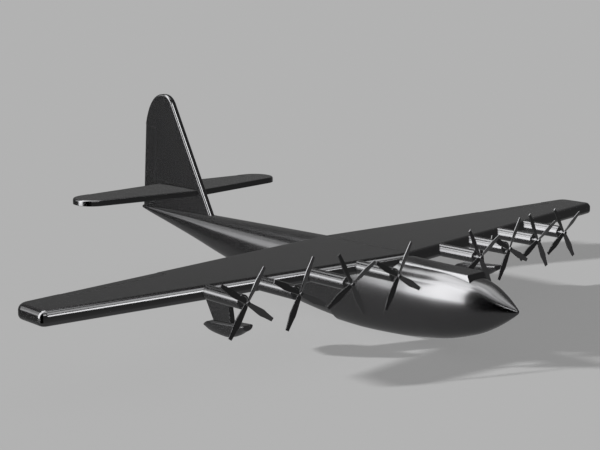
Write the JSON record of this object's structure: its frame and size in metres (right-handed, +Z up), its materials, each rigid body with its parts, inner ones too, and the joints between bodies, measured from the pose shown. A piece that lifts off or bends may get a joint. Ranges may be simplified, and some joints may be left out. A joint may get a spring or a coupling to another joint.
{
  "type": "flying boat, 1:10 scale model",
  "caption": "Very large wooden flying boat of the 1940s as a scale model: slab wings with turning propellers, stepped hull, tall fin, wing floats, and ailerons, elevators and rudder that move.",
  "frame": {"origin": "on the waterline in the plane of symmetry, below the wing's centre section; the hull's keel lies 0.289 m below it", "axes": "+X forward to the bow, +Y to port, +Z up out of the water"},
  "size_m": [7.28, 9.754, 2.7528],
  "materials": {
    "hull_enamel": "dark grey gloss enamel over a filled wooden hull",
    "wing_enamel": "dark grey gloss enamel, a little softer on the broad upper face",
    "tail_enamel": "dark grey gloss enamel",
    "nacelle_enamel": "dark grey high gloss enamel on round cowlings",
    "propeller_enamel": "dark grey satin gloss blades and hubs",
    "float_enamel": "dark grey gloss enamel"
  },
  "bodies": {
    "airframe": {"hull": "hull_enamel", "canopy": "hull_enamel", "wing_port": "wing_enamel", "wing_starboard": "wing_enamel", "nacelle_1": "nacelle_enamel", "nacelle_2": "nacelle_enamel", "nacelle_3": "nacelle_enamel", "nacelle_4": "nacelle_enamel", "nacelle_5": "nacelle_enamel", "nacelle_6": "nacelle_enamel", "nacelle_7": "nacelle_enamel", "nacelle_8": "nacelle_enamel", "fin": "tail_enamel", "tailplane_port": "tail_enamel", "tailplane_starboard": "tail_enamel", "pylon_port": "float_enamel", "pylon_starboard": "float_enamel", "float_port": "float_enamel", "float_starboard": "float_enamel"},
    "propeller_1": {"propeller_1": "propeller_enamel"},
    "propeller_2": {"propeller_2": "propeller_enamel"},
    "propeller_3": {"propeller_3": "propeller_enamel"},
    "propeller_4": {"propeller_4": "propeller_enamel"},
    "propeller_5": {"propeller_5": "propeller_enamel"},
    "propeller_6": {"propeller_6": "propeller_enamel"},
    "propeller_7": {"propeller_7": "propeller_enamel"},
    "propeller_8": {"propeller_8": "propeller_enamel"},
    "aileron_port": {"aileron_port": "wing_enamel"},
    "aileron_starboard": {"aileron_starboard": "wing_enamel"},
    "elevator_port": {"elevator_port": "tail_enamel"},
    "elevator_starboard": {"elevator_starboard": "tail_enamel"},
    "rudder": {"rudder": "tail_enamel"}
  },
  "joints": [
    {"name": "propeller_1_spin", "type": "hinge", "parent": "airframe", "child": "propeller_1", "pos_m": [0.8444, -2.889, 0.7106], "axis": [1, 0, 0], "continuous": true},
    {"name": "propeller_2_spin", "type": "hinge", "parent": "airframe", "child": "propeller_2", "pos_m": [0.9213, -2.185, 0.7106], "axis": [1, 0, 0], "continuous": true},
    {"name": "propeller_3_spin", "type": "hinge", "parent": "airframe", "child": "propeller_3", "pos_m": [1.0009, -1.457, 0.7106], "axis": [1, 0, 0], "continuous": true},
    {"name": "propeller_4_spin", "type": "hinge", "parent": "airframe", "child": "propeller_4", "pos_m": [1.0773, -0.758, 0.7106], "axis": [1, 0, 0], "continuous": true},
    {"name": "propeller_5_spin", "type": "hinge", "parent": "airframe", "child": "propeller_5", "pos_m": [1.0773, 0.758, 0.7106], "axis": [1, 0, 0], "continuous": true},
    {"name": "propeller_6_spin", "type": "hinge", "parent": "airframe", "child": "propeller_6", "pos_m": [1.0009, 1.457, 0.7106], "axis": [1, 0, 0], "continuous": true},
    {"name": "propeller_7_spin", "type": "hinge", "parent": "airframe", "child": "propeller_7", "pos_m": [0.9213, 2.185, 0.7106], "axis": [1, 0, 0], "continuous": true},
    {"name": "propeller_8_spin", "type": "hinge", "parent": "airframe", "child": "propeller_8", "pos_m": [0.8444, 2.889, 0.7106], "axis": [1, 0, 0], "continuous": true},
    {"name": "aileron_port_hinge", "type": "hinge", "parent": "airframe", "child": "aileron_port", "pos_m": [-0.5741, 2.92, 0.7106], "axis": [0.0856, 0.9963, 0], "range_deg": [-20, 20]},
    {"name": "elevator_port_hinge", "type": "hinge", "parent": "airframe", "child": "elevator_port", "pos_m": [-4.3393, 0.07, 1.05], "axis": [0.0936, 0.9956, 0], "range_deg": [-22, 22]},
    {"name": "aileron_starboard_hinge", "type": "hinge", "parent": "airframe", "child": "aileron_starboard", "pos_m": [-0.5741, -2.92, 0.7106], "axis": [-0.0856, 0.9963, 0], "range_deg": [-20, 20]},
    {"name": "elevator_starboard_hinge", "type": "hinge", "parent": "airframe", "child": "elevator_starboard", "pos_m": [-4.3393, -0.07, 1.05], "axis": [-0.0936, 0.9956, 0], "range_deg": [-22, 22]},
    {"name": "rudder_hinge", "type": "hinge", "parent": "airframe", "child": "rudder", "pos_m": [-4.6742, 0, 0.793], "axis": [0.0769, 0, 0.997], "range_deg": [-25, 25]}
  ]
}
